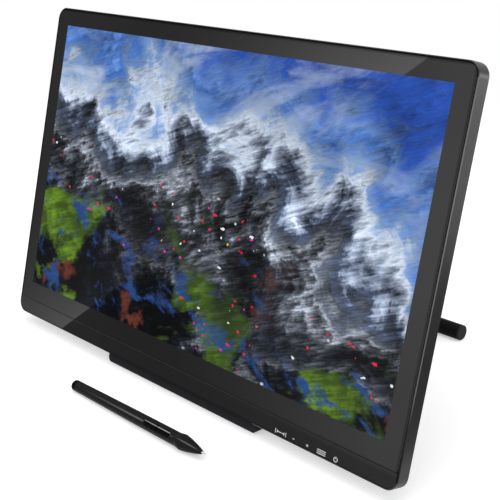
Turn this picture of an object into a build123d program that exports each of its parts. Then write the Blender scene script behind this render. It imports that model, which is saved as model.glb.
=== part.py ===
from build123d import *
from math import asin, atan2, cos, degrees, hypot, radians, sin
import os

# Display, seen from the front
active_width = 476.6
active_height = 268.1
side_border = 18.7
top_border = 17.2
glass_below_picture = 18.5
chin_height = 16.2
corner_radius = 11.0
rim_width = 1.5
rim_chamfer = 0.8
lean = 13.24  # degrees that the display leans back from upright

# Display, from front to back
glass_thickness = 2.0
glass_edge = 0.25
tape_thickness = 0.3
ledge_thickness = 1.5
side_depth = 13.0
frame_wall = 2.0
cover_bulge = 21.0
cover_slope_run = 40.0
cover_back_radius = 34.0
cover_wall = 2.4
seam = 0.4

# Picture stack behind the ledge
window_margin = 1.5
cell_margin = 6.0
cell_thickness = 1.5
sheet_inset = 1.0
sheets_thickness = 1.2
guide_thickness = 3.0
led_bar_height = 3.6
led_length = 5.0
led_proud = 0.5
led_count = 24
tray_gap = 0.3
tray_wall = 0.8
digitizer_thickness = 1.2
shield_thickness = 0.8
shield_margin = 0.5

# Circuit boards
spacer_length = 4.7
spacer_radius = 2.6
board_thickness = 1.6
main_board_height = 106.0
main_board_inset = 4.0
main_board_overhang = 28.0
driver_board_width = 96.0
driver_board_height = 46.0
driver_board_right = 176.0
driver_board_rise = 96.0
chip_size = 22.0
chip_height = 2.0
fin_height = 4.0
fin_thickness = 1.2
fin_pitch = 3.6
connector_width = 30.0
connector_depth = 5.0
board_inset = 5.0

# Port bay in the lower left of the cover, seen from the front
bay_width = 118.0
bay_middle = 147.0
bay_rise = 74.0
bay_floor_depth = 18.0
socket_end_margin = 6.0
socket_gap = 0.3
socket_wall = 0.8
mouth_depth = 9.0
jack_pin_radius = 1.0
hdmi_width = 15.2
hdmi_height = 6.2
hdmi_length = 12.0
usb_width = 12.0
usb_height = 10.8
usb_length = 16.0
vga_width = 30.8
vga_height = 12.5
vga_length = 13.0
vga_shell_width = 16.4
vga_shell_height = 8.0
vga_shell_proud = 5.0
hex_post_radius = 2.5
jack_width = 9.0
jack_height = 11.0
jack_length = 14.0
jack_bore = 3.2

# Cooling slots in the cover
vent_length = 20.0
vent_width = 3.0
vent_pitch = 8.0
vent_count = 12
vent_middle = 118.0
vent_drop = 52.0

# Screws
cover_screw_radius = 1.5
cover_head_radius = 2.8
cover_head_height = 1.6
cover_screw_length = 7.0
cover_screw_floor = 1.2
post_radius = 3.4
post_inset_top = 5.85
post_inset_bottom = 18.0
stand_screw_radius = 2.0
stand_head_radius = 4.0
stand_head_height = 2.6
stand_screw_length = 10.0
stand_screw_pitch = 100.0
stand_pattern_rise = 128.0
stand_boss_radius = 6.0
stand_boss_length = 10.0
drive_width = 2.4
drive_depth = 1.2
screw_gap = 0.1

# Buttons in the underside
button_length = 9.0
button_width = 4.2
button_proud = 1.0
button_gap = 0.15
button_flange = 0.9
button_flange_height = 0.8
button_travel = 0.5
button_pitch = 15.0
button_first = 137.0
button_depth = 8.2
switch_size = 6.0
switch_height = 3.0
switch_plunger_radius = 1.7
switch_plunger_height = 0.4
switch_clear = 0.35
button_board_length = 84.0
button_board_thickness = 1.2
button_board_gap = 0.1

# Stand: plate on the display's back, with the front foot
sheet = 2.5
plate_top_rise = 214.0
plate_corner = 14.0
plate_slot_width = 12.0
plate_slot_length = 74.0
plate_slot_spread = 42.0
flange_height = 8.0
flange_start = 24.0
foot_width = 208.0
foot_set_back = 7.0
foot_drop = 10.0
foot_corner = 4.5
foot_gap = 0.3
foot_pad_thickness = 1.0
foot_pad_depth = 16.0
foot_pad_inset = 3.0
foot_pad_margin = 7.0
foot_screw_radius = 1.5
foot_screw_head_radius = 2.9
foot_screw_length = 5.0
foot_screw_spread = 50.0

# Stand: hinge
hinge_rise = 185.0
hinge_stand_off = 14.0
ear_radius = 11.5
ear_base = 46.0
shaft_radius = 5.0
run_gap = 0.05
fit_gap = 0.03
nut_radius = 8.0
nut_height = 3.0
washer_radius = 9.0
washer_thickness = 1.3
washer_gap = 0.15
washer_count = 3
clutch_radius = 10.5
clutch_half_width = 30.0
clutch_clear = 1.0
clutch_block_start = 13.5
clutch_block_end = 46.0
clutch_block_height = 9.5
clutch_cavity_radius = 8.2
clutch_cavity_half_width = 24.0
clutch_spring_radius = 7.6
clutch_screw_radius = 2.0
clutch_screw_spread = 23.0

# Stand: release lever
lever_pin_radius = 2.0
lever_pin_reach = 34.0
lever_pin_height = 13.0
lever_hub_radius = 3.3
lever_sheet = 3.0
lever_arm_half_width = 18.0
lever_slot_gap = 0.3
lever_slot_floor = 1.9
lever_nose = 6.0
lever_ramp = 24.0
lever_rise = 6.5
lever_length = 58.0
lever_lip = 5.0
lever_paddle_half_width = 28.0
lever_bend = 5.0

# Stand: leg and rear bar
bar_reach = 293.0
bar_length = 208.0
bar_sleeve_radius = 8.0
bar_tube_radius = 5.0
bar_tube_wall = 1.1
bar_cap_thickness = 2.0
bar_plug_length = 8.0
bar_cap_round = 0.8
leg_half_width = 68.0
leg_flange = 12.0
leg_flange_clear = 20.0
leg_window_width = 38.0
leg_window_length = 118.0
leg_window_spread = 28.0
leg_window_start = 112.0

# Pen on the floor in front
pen_in_front = 60.0
pen_tail_left = 73.0
pen_length = 181.0
pen_tail_radius = 5.1
pen_middle_radius = 5.8
pen_front_radius = 6.1
pen_flare_radius = 6.95
pen_bore_radius = 4.2
pen_cap_length = 6.0
pen_cap_dome = 1.6
pen_spigot_length = 6.0
pen_collar_length = 3.6
pen_nib_proud = 4.0
pen_cone_length = 23.0
pen_flare_length = 8.0
pen_cone_end_radius = 1.7
pen_cone_swell = 0.55
pen_nib_radius = 0.9
pen_nib_bore_length = 12.0
pen_nib_travel = 0.5
pen_slot_length = 34.4
pen_slot_margin = 4.1
pen_slot_width = 5.6
pen_button_gap = 0.2
pen_button_split = 0.5
pen_button_proud = 0.35
pen_button_floor = 3.5
pen_button_facing = 41.0  # degrees that the pen's buttons face above level
pen_cell_radius = 3.9
pen_cell_length = 42.0
pen_board_width = 7.8
pen_board_thickness = 1.0
pen_board_margin = 9.4
pen_coil_radius = 3.6
pen_coil_length = 14.0
pen_shell_gap = 0.05

# Places as shares of what they follow
cover_screw_shares = (-0.44, -0.15, 0.15, 0.44)
chip_place_shares = ((-0.22, 0.18), (0.2, 0.2), (0.22, -0.12))
pen_middle_share = 0.45

os.makedirs("parts", exist_ok=True)

# Where the display's edges lie, measured from the middle of the picture
body_width = active_width + 2 * side_border
body_top = active_height / 2 + top_border
chin_line = -active_height / 2 - glass_below_picture
body_bottom = chin_line - chin_height
body_height = body_top - body_bottom
body_middle = (body_top + body_bottom) / 2

# Depths behind the front of the glass
tape_back = glass_thickness + tape_thickness
ledge_back = tape_back + ledge_thickness
sheets_front = ledge_back + cell_thickness
guide_front = sheets_front + sheets_thickness
guide_back = guide_front + guide_thickness
tray_back = guide_back + tray_wall
digitizer_back = tray_back + digitizer_thickness
shield_back = digitizer_back + shield_thickness
board_front = shield_back + spacer_length
board_back = board_front + board_thickness
cover_back = side_depth + cover_bulge
plate_back = cover_back + sheet

# The display's own directions and the planes that its pieces are drawn on
up = Vector(0, sin(radians(lean)), cos(radians(lean)))
out = Vector(0, -cos(radians(lean)), sin(radians(lean)))
foot_edge = Vector(0, -foot_pad_inset - foot_pad_depth / 2, foot_pad_thickness)
screen_middle = foot_edge + out * foot_set_back - up * (body_bottom - foot_drop)
screen = Plane(origin=screen_middle, x_dir=(1, 0, 0), z_dir=out)
side = Plane(origin=screen_middle, x_dir=-out, z_dir=(1, 0, 0))
underside = Plane(origin=screen_middle + up * body_bottom, x_dir=(1, 0, 0), z_dir=-up)
forwards = Axis((0, 0, 0), out)
upwards = Axis((0, 0, 0), up)

# The leg's own directions, from the hinge down to the rear bar
hinge_height = body_bottom + hinge_rise
hinge_depth = plate_back + hinge_stand_off
hinge = screen_middle + up * hinge_height - out * hinge_depth
bar_middle = Vector(0, foot_edge.Y + bar_reach, bar_sleeve_radius)
leg_length = hypot(bar_middle.Y - hinge.Y, bar_middle.Z - hinge.Z)
leg_fall = atan2(hinge.Z - bar_middle.Z, bar_middle.Y - hinge.Y)
down_leg = Vector(0, cos(leg_fall), -sin(leg_fall))
off_leg = Vector(0, sin(leg_fall), cos(leg_fall))
leg_side = Plane(origin=hinge, x_dir=down_leg, z_dir=(1, 0, 0))
leg_top = Plane(origin=hinge, x_dir=(1, 0, 0), z_dir=off_leg)

# Stations along the pen, measured from its tail
pen_cone_end = pen_length - pen_nib_proud
pen_flare_at = pen_cone_end - pen_cone_length
pen_barrel_end = pen_flare_at - pen_flare_length
pen_slot_start = pen_barrel_end - pen_slot_margin - pen_slot_length

# The pen rests on its tail and on its flare, so its axis rises a little
pen_tilt = asin((pen_flare_radius - pen_tail_radius) / pen_flare_at)
facing = radians(pen_button_facing)
along_pen = Vector(cos(pen_tilt), 0, sin(pen_tilt))
pen_face = Vector(-sin(pen_tilt) * sin(facing), -cos(facing), cos(pen_tilt) * sin(facing))
pen_tail = Vector(-pen_tail_left, foot_edge.Y - pen_in_front, pen_tail_radius / cos(pen_tilt))
pen_side = Plane(origin=pen_tail, x_dir=along_pen, z_dir=along_pen.cross(pen_face))
pen_above = Plane(origin=pen_tail, x_dir=along_pen, z_dir=pen_face)
pen_axis = Axis(pen_tail, along_pen)


def behind(depth):
    return screen.offset(-depth)


def save(built, name):
    built.part.label = name
    export_step(built.part, f"parts/{name}.step")


def body_outline(inset):
    with Locations((0, body_middle)):
        RectangleRounded(body_width - 2 * inset, body_height - 2 * inset, corner_radius - inset)


def back_outline(inset):
    with Locations((0, body_middle)):
        RectangleRounded(body_width - 2 * inset, body_height - 2 * inset, cover_back_radius)


def picture_rectangle(margin):
    Rectangle(active_width + 2 * margin, active_height + 2 * margin)


def cover_screw_places():
    top = [(body_width * share, body_top - post_inset_top) for share in cover_screw_shares]
    bottom = [(body_width * share, body_bottom + post_inset_bottom) for share in cover_screw_shares]
    return top + bottom


def button_places():
    return [(button_first + button_pitch * number, -button_depth) for number in range(5)]


# Frame: side wall, the ledge that the glass lies on, and posts for the cover's screws
with BuildPart() as front_frame:
    with BuildSketch(behind(0)):
        body_outline(0)
    extrude(amount=-side_depth)
    chamfer(front_frame.edges().group_by(forwards)[-1], rim_chamfer)
    with BuildSketch(behind(0)):
        body_outline(rim_width)
    extrude(amount=-tape_back, mode=Mode.SUBTRACT)
    with BuildSketch(behind(tape_back)):
        picture_rectangle(window_margin)
    extrude(amount=-ledge_thickness, mode=Mode.SUBTRACT)
    with BuildSketch(behind(ledge_back)):
        body_outline(frame_wall)
    extrude(amount=-(side_depth - ledge_back), mode=Mode.SUBTRACT)
    with BuildSketch(behind(ledge_back)):
        with Locations(*cover_screw_places()):
            Circle(post_radius)
            Circle(cover_screw_radius + fit_gap, mode=Mode.SUBTRACT)
    extrude(amount=-(side_depth - ledge_back))
    with BuildSketch(underside):
        with Locations(*button_places()):
            SlotOverall(button_length, button_width)
    extrude(amount=-frame_wall, mode=Mode.SUBTRACT)
save(front_frame, "front_frame")

# Front glass, square at its lower corners, with a polished edge
with BuildPart() as front_glass:
    with BuildSketch(behind(0)):
        body_outline(rim_width + button_gap)
        with Locations((0, chin_line)):
            Rectangle(body_width, body_height, align=(Align.CENTER, Align.MIN), mode=Mode.INTERSECT)
    extrude(amount=-glass_thickness)
    chamfer(front_glass.edges().group_by(forwards)[-1], glass_edge)
save(front_glass, "front_glass")

# Adhesive tape between the glass and the ledge
with BuildPart() as glass_tape:
    with BuildSketch(behind(glass_thickness)):
        body_outline(rim_width + tray_gap)
        with Locations((0, chin_line)):
            Rectangle(body_width, body_height, align=(Align.CENTER, Align.MIN), mode=Mode.INTERSECT)
        Rectangle(
            active_width + 2 * window_margin,
            active_height + 2 * window_margin,
            mode=Mode.SUBTRACT,
        )
    extrude(amount=-tape_thickness)
save(glass_tape, "glass_tape")

# Chin strip below the glass
with BuildPart() as chin_strip:
    with BuildSketch(behind(0)):
        body_outline(rim_width + button_gap)
        with Locations((0, chin_line - seam)):
            Rectangle(body_width, body_height, align=(Align.CENTER, Align.MAX), mode=Mode.INTERSECT)
    extrude(amount=-tape_back)
    chamfer(chin_strip.edges().group_by(forwards)[-1], glass_edge)
save(chin_strip, "chin_strip")

# Picture stack: cell, diffuser sheets, light guide with its row of lamps, and the steel tray round them
cell_width = active_width + 2 * cell_margin
cell_height = active_height + 2 * cell_margin
guide_width = cell_width - 2 * sheet_inset
guide_height = cell_height - 2 * sheet_inset
tray_width = cell_width + 2 * (tray_gap + tray_wall)
tray_height = cell_height + 2 * (tray_gap + tray_wall)
with BuildPart() as lcd_cell:
    with BuildSketch(behind(ledge_back)):
        picture_rectangle(cell_margin)
    extrude(amount=-cell_thickness)
save(lcd_cell, "lcd_cell")

with BuildPart() as diffuser_sheets:
    with BuildSketch(behind(sheets_front)):
        Rectangle(guide_width, guide_height)
    extrude(amount=-sheets_thickness)
save(diffuser_sheets, "diffuser_sheets")

with BuildPart() as light_guide:
    with BuildSketch(behind(guide_front)):
        with Locations((0, (led_bar_height + led_proud) / 2)):
            Rectangle(guide_width, guide_height - led_bar_height - led_proud)
    extrude(amount=-guide_thickness)
save(light_guide, "light_guide")

with BuildPart() as led_bar:
    with BuildSketch(behind(guide_front)):
        with Locations((0, -guide_height / 2)):
            Rectangle(guide_width, led_bar_height, align=(Align.CENTER, Align.MIN))
        with Locations((0, -guide_height / 2 + led_bar_height)):
            with GridLocations(guide_width / led_count, 0, led_count, 1):
                Rectangle(led_length, led_proud, align=(Align.CENTER, Align.MIN))
    extrude(amount=-guide_thickness)
save(led_bar, "led_bar")

with BuildPart() as backlight_tray:
    with BuildSketch(behind(ledge_back)):
        Rectangle(tray_width, tray_height)
    extrude(amount=-(tray_back - ledge_back))
    with BuildSketch(behind(ledge_back)):
        picture_rectangle(cell_margin + tray_gap)
    extrude(amount=-(guide_back - ledge_back), mode=Mode.SUBTRACT)
save(backlight_tray, "backlight_tray")

# Pen sensor board behind the tray, and the shield plate behind that
with BuildPart() as digitizer_board:
    with BuildSketch(behind(tray_back)):
        Rectangle(tray_width, tray_height)
    extrude(amount=-digitizer_thickness)
save(digitizer_board, "digitizer_board")

with BuildPart() as shield_plate:
    with BuildSketch(behind(digitizer_back)):
        Rectangle(tray_width + 2 * shield_margin, tray_height + 2 * shield_margin)
    extrude(amount=-shield_thickness)
save(shield_plate, "shield_plate")

# Circuit boards on spacers, with their chips, cooling fins and cable connector
bay_top = body_bottom + bay_rise
bay_left = -bay_middle - bay_width / 2
main_board_width = bay_width - main_board_inset + main_board_overhang
main_board_left = bay_left + main_board_inset
main_board_bottom = bay_top + cover_wall
main_board_centre = (main_board_left + main_board_width / 2, main_board_bottom + main_board_height / 2)
driver_board_centre = (driver_board_right - driver_board_width / 2, body_bottom + driver_board_rise)
with BuildPart() as main_board:
    with BuildSketch(behind(board_front)):
        with Locations(main_board_centre):
            Rectangle(main_board_width, main_board_height)
            with GridLocations(
                main_board_width - 2 * board_inset, main_board_height - 2 * board_inset, 2, 2
            ):
                Circle(cover_screw_radius + fit_gap, mode=Mode.SUBTRACT)
    extrude(amount=-board_thickness)
    chips = [
        (
            main_board_centre[0] + main_board_width * across_share,
            main_board_centre[1] + main_board_height * rise_share,
        )
        for across_share, rise_share in chip_place_shares
    ]
    with BuildSketch(behind(board_back)):
        with Locations(*chips):
            Rectangle(chip_size, chip_size)
        with Locations((main_board_centre[0], main_board_bottom + main_board_height - connector_depth)):
            Rectangle(connector_width, connector_depth)
    extrude(amount=-chip_height)
    with BuildSketch(behind(board_back + chip_height)):
        with Locations(chips[0]):
            with GridLocations(fin_pitch, 0, int(chip_size // fin_pitch), 1):
                Rectangle(fin_thickness, chip_size)
    extrude(amount=-fin_height)
save(main_board, "main_board")

with BuildPart() as driver_board:
    with BuildSketch(behind(board_front)):
        with Locations(driver_board_centre):
            Rectangle(driver_board_width, driver_board_height)
            with GridLocations(
                driver_board_width - 2 * board_inset, driver_board_height - 2 * board_inset, 2, 2
            ):
                Circle(cover_screw_radius + fit_gap, mode=Mode.SUBTRACT)
    extrude(amount=-board_thickness)
    with BuildSketch(behind(board_back)):
        with Locations(driver_board_centre):
            with GridLocations(driver_board_width / 3, 0, 2, 1):
                Rectangle(chip_size / 2, chip_size)
    extrude(amount=-chip_height)
save(driver_board, "driver_board")

with BuildPart() as board_spacers:
    with BuildSketch(behind(shield_back)):
        for centre, width, height in (
            (main_board_centre, main_board_width, main_board_height),
            (driver_board_centre, driver_board_width, driver_board_height),
        ):
            with Locations(centre):
                with GridLocations(width - 2 * board_inset, height - 2 * board_inset, 2, 2):
                    Circle(spacer_radius)
                    Circle(cover_screw_radius + fit_gap, mode=Mode.SUBTRACT)
    extrude(amount=-spacer_length)
save(board_spacers, "board_spacers")

with BuildPart() as board_screws:
    with BuildSketch(behind(board_back)):
        for centre, width, height in (
            (main_board_centre, main_board_width, main_board_height),
            (driver_board_centre, driver_board_width, driver_board_height),
        ):
            with Locations(centre):
                with GridLocations(width - 2 * board_inset, height - 2 * board_inset, 2, 2):
                    Circle(cover_head_radius)
    extrude(amount=-cover_head_height)
    with BuildSketch(behind(board_back)):
        for centre, width, height in (
            (main_board_centre, main_board_width, main_board_height),
            (driver_board_centre, driver_board_width, driver_board_height),
        ):
            with Locations(centre):
                with GridLocations(width - 2 * board_inset, height - 2 * board_inset, 2, 2):
                    Circle(cover_screw_radius)
    extrude(amount=board_thickness + spacer_length)
save(board_screws, "board_screws")

# Hollow of the rear cover: it leaves walls round the port bay and columns for the screws
inner_slope = cover_wall * hypot(cover_bulge, cover_slope_run) / cover_bulge
stand_pattern_middle = (0, body_bottom + stand_pattern_rise)
with BuildPart() as cover_hollow:
    with BuildSketch(behind(side_depth)):
        with Locations((0, body_middle)):
            RectangleRounded(
                body_width - 2 * (seam + inner_slope),
                body_height - 2 * (seam + inner_slope),
                corner_radius - seam - cover_wall,
            )
    with BuildSketch(behind(cover_back - cover_wall)):
        back_outline(cover_slope_run + inner_slope - cover_slope_run * cover_wall / cover_bulge)
    loft()
    with BuildSketch(behind(bay_floor_depth - cover_wall)):
        with Locations((-bay_middle, bay_top + cover_wall)):
            Rectangle(
                bay_width + 2 * cover_wall,
                body_height,
                align=(Align.CENTER, Align.MAX),
            )
    extrude(amount=-cover_bulge, mode=Mode.SUBTRACT)
    with BuildSketch(behind(side_depth)):
        with Locations(*cover_screw_places()):
            Circle(post_radius + cover_wall)
    extrude(amount=-cover_bulge, mode=Mode.SUBTRACT)
    with BuildSketch(behind(cover_back)):
        with Locations(stand_pattern_middle):
            with GridLocations(stand_screw_pitch, stand_screw_pitch, 2, 2):
                Circle(stand_boss_radius)
    extrude(amount=stand_boss_length, mode=Mode.SUBTRACT)

# Rear cover: sloped shell with the port bay, cooling slots and screw wells
socket_start = bay_left + main_board_inset + board_inset + cover_head_radius + socket_gap
socket_end = bay_left + bay_width - socket_end_margin
socket_widths = (jack_width, usb_width, hdmi_width, vga_width)
socket_space = (socket_end - socket_start - sum(socket_widths)) / (len(socket_widths) - 1)
socket_places = [
    socket_start + sum(socket_widths[:number]) + number * socket_space + socket_widths[number] / 2
    for number in range(len(socket_widths))
]
socket_table = (
    ("dc_jack", socket_places[0], jack_width, jack_height, jack_length),
    ("usb_socket", socket_places[1], usb_width, usb_height, usb_length),
    ("hdmi_socket", socket_places[2], hdmi_width, hdmi_height, hdmi_length),
    ("vga_socket", socket_places[3], vga_width, vga_height, vga_length),
)
bay_ceiling = Plane(origin=screen_middle + up * bay_top, x_dir=(1, 0, 0), z_dir=-up)
with BuildPart() as rear_cover:
    with BuildSketch(behind(side_depth)):
        body_outline(seam)
    with BuildSketch(behind(cover_back)):
        back_outline(cover_slope_run)
    loft()
    add(cover_hollow.part, mode=Mode.SUBTRACT)
    with BuildSketch(behind(bay_floor_depth)):
        with Locations((-bay_middle, bay_top)):
            Rectangle(bay_width, body_height, align=(Align.CENTER, Align.MAX))
    extrude(amount=-(cover_back - bay_floor_depth), mode=Mode.SUBTRACT)
    with BuildSketch(bay_ceiling):
        for name, place, width, height, length in socket_table:
            with Locations((place, -board_back - height / 2)):
                Rectangle(width + 2 * socket_gap, height + 2 * socket_gap)
    extrude(amount=-cover_wall, mode=Mode.SUBTRACT)
    with BuildSketch(behind(cover_back)):
        with Locations((vent_middle, body_top - vent_drop), (-vent_middle, body_top - vent_drop)):
            with GridLocations(vent_pitch, 0, vent_count, 1):
                SlotOverall(vent_length, vent_width, rotation=90)
    extrude(amount=cover_wall, mode=Mode.SUBTRACT)
    with BuildSketch(behind(side_depth + cover_screw_floor)):
        with Locations(*cover_screw_places()):
            Circle(cover_head_radius + screw_gap)
    extrude(amount=-cover_bulge, mode=Mode.SUBTRACT)
    with BuildSketch(behind(side_depth)):
        with Locations(*cover_screw_places()):
            Circle(cover_screw_radius + fit_gap)
    extrude(amount=-cover_screw_floor, mode=Mode.SUBTRACT)
    with BuildSketch(behind(cover_back)):
        with Locations(stand_pattern_middle):
            with GridLocations(stand_screw_pitch, stand_screw_pitch, 2, 2):
                Circle(stand_screw_radius + fit_gap)
    extrude(amount=stand_boss_length, mode=Mode.SUBTRACT)
save(rear_cover, "rear_cover")

with BuildPart() as cover_screws:
    with BuildSketch(behind(side_depth + cover_screw_floor)):
        with Locations(*cover_screw_places()):
            Circle(cover_head_radius)
    extrude(amount=-cover_head_height)
    with BuildSketch(behind(side_depth + cover_screw_floor)):
        with Locations(*cover_screw_places()):
            Circle(cover_screw_radius)
    extrude(amount=cover_screw_length)
save(cover_screws, "cover_screws")

# Sockets on the main board's lower edge, facing down into the bay
for name, place, width, height, length in socket_table:
    middle = (place, -board_back - height / 2)
    with BuildPart() as socket:
        with BuildSketch(bay_ceiling):
            with Locations(middle):
                Rectangle(width, height)
        extrude(amount=-length)
        if name == "dc_jack":
            with BuildSketch(bay_ceiling):
                with Locations(middle):
                    Circle(jack_bore)
                    Circle(jack_pin_radius, mode=Mode.SUBTRACT)
            extrude(amount=-mouth_depth, mode=Mode.SUBTRACT)
        if name in ("usb_socket", "hdmi_socket"):
            with BuildSketch(bay_ceiling):
                with Locations(middle):
                    Rectangle(width - 2 * socket_wall, height - 2 * socket_wall)
                    Rectangle(width / 2, height / 4, mode=Mode.SUBTRACT)
            extrude(amount=-mouth_depth, mode=Mode.SUBTRACT)
        if name == "vga_socket":
            with BuildSketch(bay_ceiling):
                with Locations(middle):
                    RectangleRounded(vga_shell_width, vga_shell_height, vga_shell_height / 3)
            extrude(amount=vga_shell_proud)
            with BuildSketch(bay_ceiling):
                with Locations(middle):
                    with GridLocations(vga_width - 2 * hex_post_radius - socket_wall, 0, 2, 1):
                        RegularPolygon(hex_post_radius, 6)
            extrude(amount=vga_shell_proud)
    save(socket, name)

# Buttons in the underside, their switches and the narrow board that carries them
inner_wall = frame_wall + screw_gap / 2
switch_base = inner_wall + button_flange_height + button_travel + switch_clear + switch_plunger_height
board_base = switch_base + switch_height
for name, place in zip(("auto", "less", "more", "menu", "power"), button_places()):
    with BuildPart() as button:
        with BuildSketch(underside.offset(button_proud)):
            with Locations(place):
                SlotOverall(button_length - 2 * button_gap, button_width - 2 * button_gap)
        extrude(amount=-(button_proud + inner_wall))
        fillet(button.edges().group_by(upwards)[0], button_proud / 3)
        with BuildSketch(underside.offset(-inner_wall)):
            with Locations(place):
                SlotOverall(button_length + 2 * button_flange, button_width + 2 * button_flange)
        extrude(amount=-button_flange_height)
    save(button, f"{name}_button")

with BuildPart() as button_switches:
    with BuildSketch(underside.offset(-switch_base)):
        with Locations(*button_places()):
            Rectangle(switch_size, switch_size)
    extrude(amount=-switch_height)
    with BuildSketch(underside.offset(-switch_base)):
        with Locations(*button_places()):
            Circle(switch_plunger_radius)
    extrude(amount=switch_plunger_height)
save(button_switches, "button_switches")

board_middle = button_first + 2 * button_pitch
with BuildPart() as button_board:
    with BuildSketch(underside.offset(-board_base)):
        with Locations((board_middle, -(ledge_back + side_depth) / 2)):
            Rectangle(button_board_length, side_depth - ledge_back - 2 * button_board_gap)
    extrude(amount=-button_board_thickness)
save(button_board, "button_board")

# Stand plate: flat back, shelf under the display, folded sides that rise to the hinge ears
plate_top = body_bottom + plate_top_rise
shelf_top = body_bottom - foot_gap
shelf_front = foot_set_back + sheet
washer_stack = washer_count * (washer_thickness + washer_gap) + washer_gap
plate_half = leg_half_width + washer_stack + sheet
plate_width = 2 * plate_half
ear_middle = (hinge_depth, hinge_height)
with BuildPart() as stand_plate:
    with BuildSketch(behind(cover_back)) as plate_face:
        with Locations((0, shelf_top - sheet)):
            Rectangle(plate_width, plate_top - shelf_top + sheet, align=(Align.CENTER, Align.MIN))
        fillet(plate_face.vertices().group_by(Axis.Y)[-1], plate_corner)
        with Locations(stand_pattern_middle):
            with GridLocations(stand_screw_pitch, stand_screw_pitch, 2, 2):
                Circle(stand_screw_radius + screw_gap, mode=Mode.SUBTRACT)
            with GridLocations(plate_slot_spread, 0, 2, 1):
                SlotOverall(plate_slot_length, plate_slot_width, rotation=90, mode=Mode.SUBTRACT)
    extrude(amount=-sheet)
    with BuildSketch(behind(shelf_front)):
        with Locations((0, shelf_top)):
            Rectangle(plate_width, sheet, align=(Align.CENTER, Align.MAX))
    extrude(amount=-(cover_back - shelf_front))
    with BuildSketch(side.offset(plate_half - sheet)):
        with Locations((plate_back, body_bottom + flange_start)):
            Rectangle(
                flange_height,
                hinge_height - body_bottom - flange_start,
                align=(Align.MIN, Align.MIN),
            )
    extrude(amount=sheet)
    with BuildSketch(side.offset(plate_half - sheet)):
        with Locations(ear_middle):
            Circle(ear_radius)
        with Locations((plate_back, hinge_height)):
            Rectangle(sheet, ear_base, align=(Align.MIN, Align.CENTER))
        make_hull()
    extrude(amount=sheet)
    mirror(about=Plane.YZ)
    with BuildSketch(side.offset(-plate_half)):
        with Locations(ear_middle):
            Circle(shaft_radius + fit_gap)
    extrude(amount=plate_width, mode=Mode.SUBTRACT)
    with BuildSketch(underside.offset(foot_gap)):
        with Locations((0, -(shelf_front + cover_back) / 2)):
            with GridLocations(2 * foot_screw_spread, 0, 2, 1):
                Circle(foot_screw_head_radius + screw_gap)
    extrude(amount=sheet, mode=Mode.SUBTRACT)
save(stand_plate, "stand_plate")

with BuildPart() as stand_screws:
    with BuildSketch(behind(plate_back)):
        with Locations(stand_pattern_middle):
            with GridLocations(stand_screw_pitch, stand_screw_pitch, 2, 2):
                Circle(stand_head_radius)
    extrude(amount=-stand_head_height)
    fillet(stand_screws.edges().group_by(forwards)[0], stand_head_height / 3)
    with BuildSketch(behind(plate_back + stand_head_height)):
        with Locations(stand_pattern_middle):
            with GridLocations(stand_screw_pitch, stand_screw_pitch, 2, 2):
                RegularPolygon(drive_width / 2, 6)
    extrude(amount=drive_depth, mode=Mode.SUBTRACT)
    with BuildSketch(behind(plate_back)):
        with Locations(stand_pattern_middle):
            with GridLocations(stand_screw_pitch, stand_screw_pitch, 2, 2):
                Circle(stand_screw_radius)
    extrude(amount=stand_screw_length)
save(stand_screws, "stand_screws")

# Front foot: block round the shelf, cut level with the floor, over its rubber pad
with BuildPart() as front_foot:
    with BuildSketch(behind(foot_set_back)):
        with Locations((0, shelf_top)):
            Rectangle(foot_width, 2 * foot_drop, align=(Align.CENTER, Align.MAX))
    extrude(amount=-(cover_back - foot_set_back))
    split(bisect_by=Plane.XY.offset(foot_pad_thickness), keep=Keep.TOP)
    foot_ends = front_foot.edges().filter_by(Axis.X, reverse=True).group_by(Axis.Z)[0]
    fillet(foot_ends, foot_corner)
    with BuildSketch(behind(shelf_front - screw_gap)):
        with Locations((0, shelf_top)):
            Rectangle(plate_width + 2 * foot_gap, sheet + screw_gap, align=(Align.CENTER, Align.MAX))
    extrude(amount=-cover_back, mode=Mode.SUBTRACT)
    with BuildSketch(underside.offset(foot_gap + sheet)):
        with Locations((0, -(shelf_front + cover_back) / 2)):
            with GridLocations(2 * foot_screw_spread, 0, 2, 1):
                Circle(foot_screw_radius + fit_gap)
    extrude(amount=2 * foot_drop, mode=Mode.SUBTRACT)
save(front_foot, "front_foot")

with BuildPart() as foot_screws:
    with BuildSketch(underside.offset(foot_gap + sheet + screw_gap)):
        with Locations((0, -(shelf_front + cover_back) / 2)):
            with GridLocations(2 * foot_screw_spread, 0, 2, 1):
                Circle(foot_screw_head_radius)
    extrude(amount=-sheet)
    with BuildSketch(underside.offset(foot_gap + sheet + screw_gap)):
        with Locations((0, -(shelf_front + cover_back) / 2)):
            with GridLocations(2 * foot_screw_spread, 0, 2, 1):
                Circle(foot_screw_radius)
    extrude(amount=foot_screw_length - sheet)
save(foot_screws, "foot_screws")

with BuildPart() as foot_pad:
    with BuildSketch(Plane.XY):
        RectangleRounded(foot_width - 2 * foot_pad_margin, foot_pad_depth, foot_pad_depth / 4)
    extrude(amount=foot_pad_thickness)
save(foot_pad, "foot_pad")

# Hinge shaft held by the plate's ears, with its end nuts and spring washers
with BuildPart() as hinge_shaft:
    with BuildSketch(leg_side.offset(-plate_half - nut_height)):
        Circle(shaft_radius)
    extrude(amount=plate_width + 2 * nut_height)
    chamfer(hinge_shaft.edges().filter_by(GeomType.CIRCLE), nut_height / 4)
save(hinge_shaft, "hinge_shaft")

with BuildPart() as shaft_nuts:
    with BuildSketch(leg_side.offset(plate_half)):
        RegularPolygon(nut_radius, 6)
        Circle(shaft_radius + fit_gap, mode=Mode.SUBTRACT)
    extrude(amount=nut_height - screw_gap)
    mirror(about=Plane.YZ)
save(shaft_nuts, "shaft_nuts")

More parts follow.
